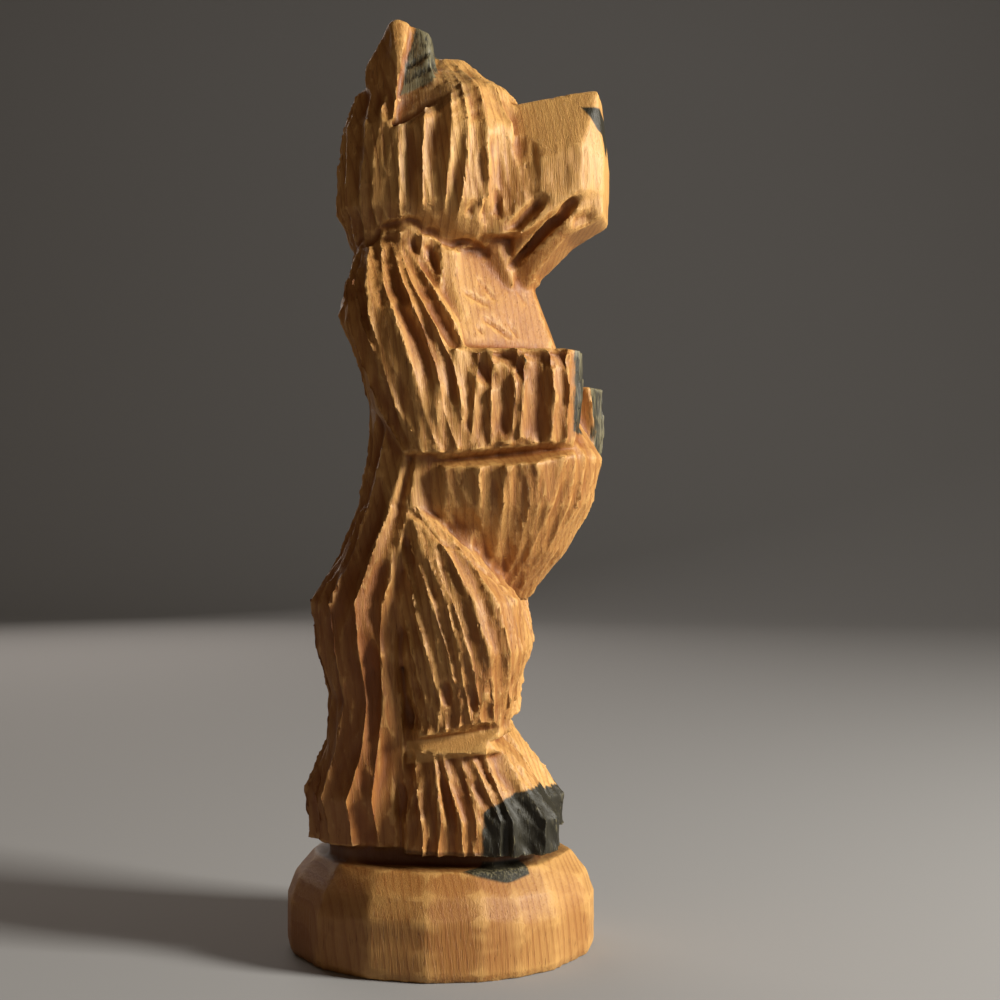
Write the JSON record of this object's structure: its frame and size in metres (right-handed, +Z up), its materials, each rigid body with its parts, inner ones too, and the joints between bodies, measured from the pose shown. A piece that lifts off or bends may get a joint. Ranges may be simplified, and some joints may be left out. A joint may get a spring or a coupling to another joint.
{
  "type": "carved wooden bear",
  "caption": "Gouge-carved wooden bear standing upright on a low faceted round plinth, a small tabletop ornament cut from one billet.",
  "frame": {"origin": "middle of the plinth's underside, on the surface that the bear stands on", "axes": "+Z up along the standing bear, -Y the way the bear faces, +X its left side"},
  "size_m": [0.0788, 0.0867, 0.2473],
  "materials": {
    "wood": "gouged and knife-cut light brown wood, waxed to a satin sheen, with dark green-black paint on nose, ears, paws and toes"
  },
  "bodies": {
    "root": {"carved_bear": "wood"}
  },
  "joints": []
}
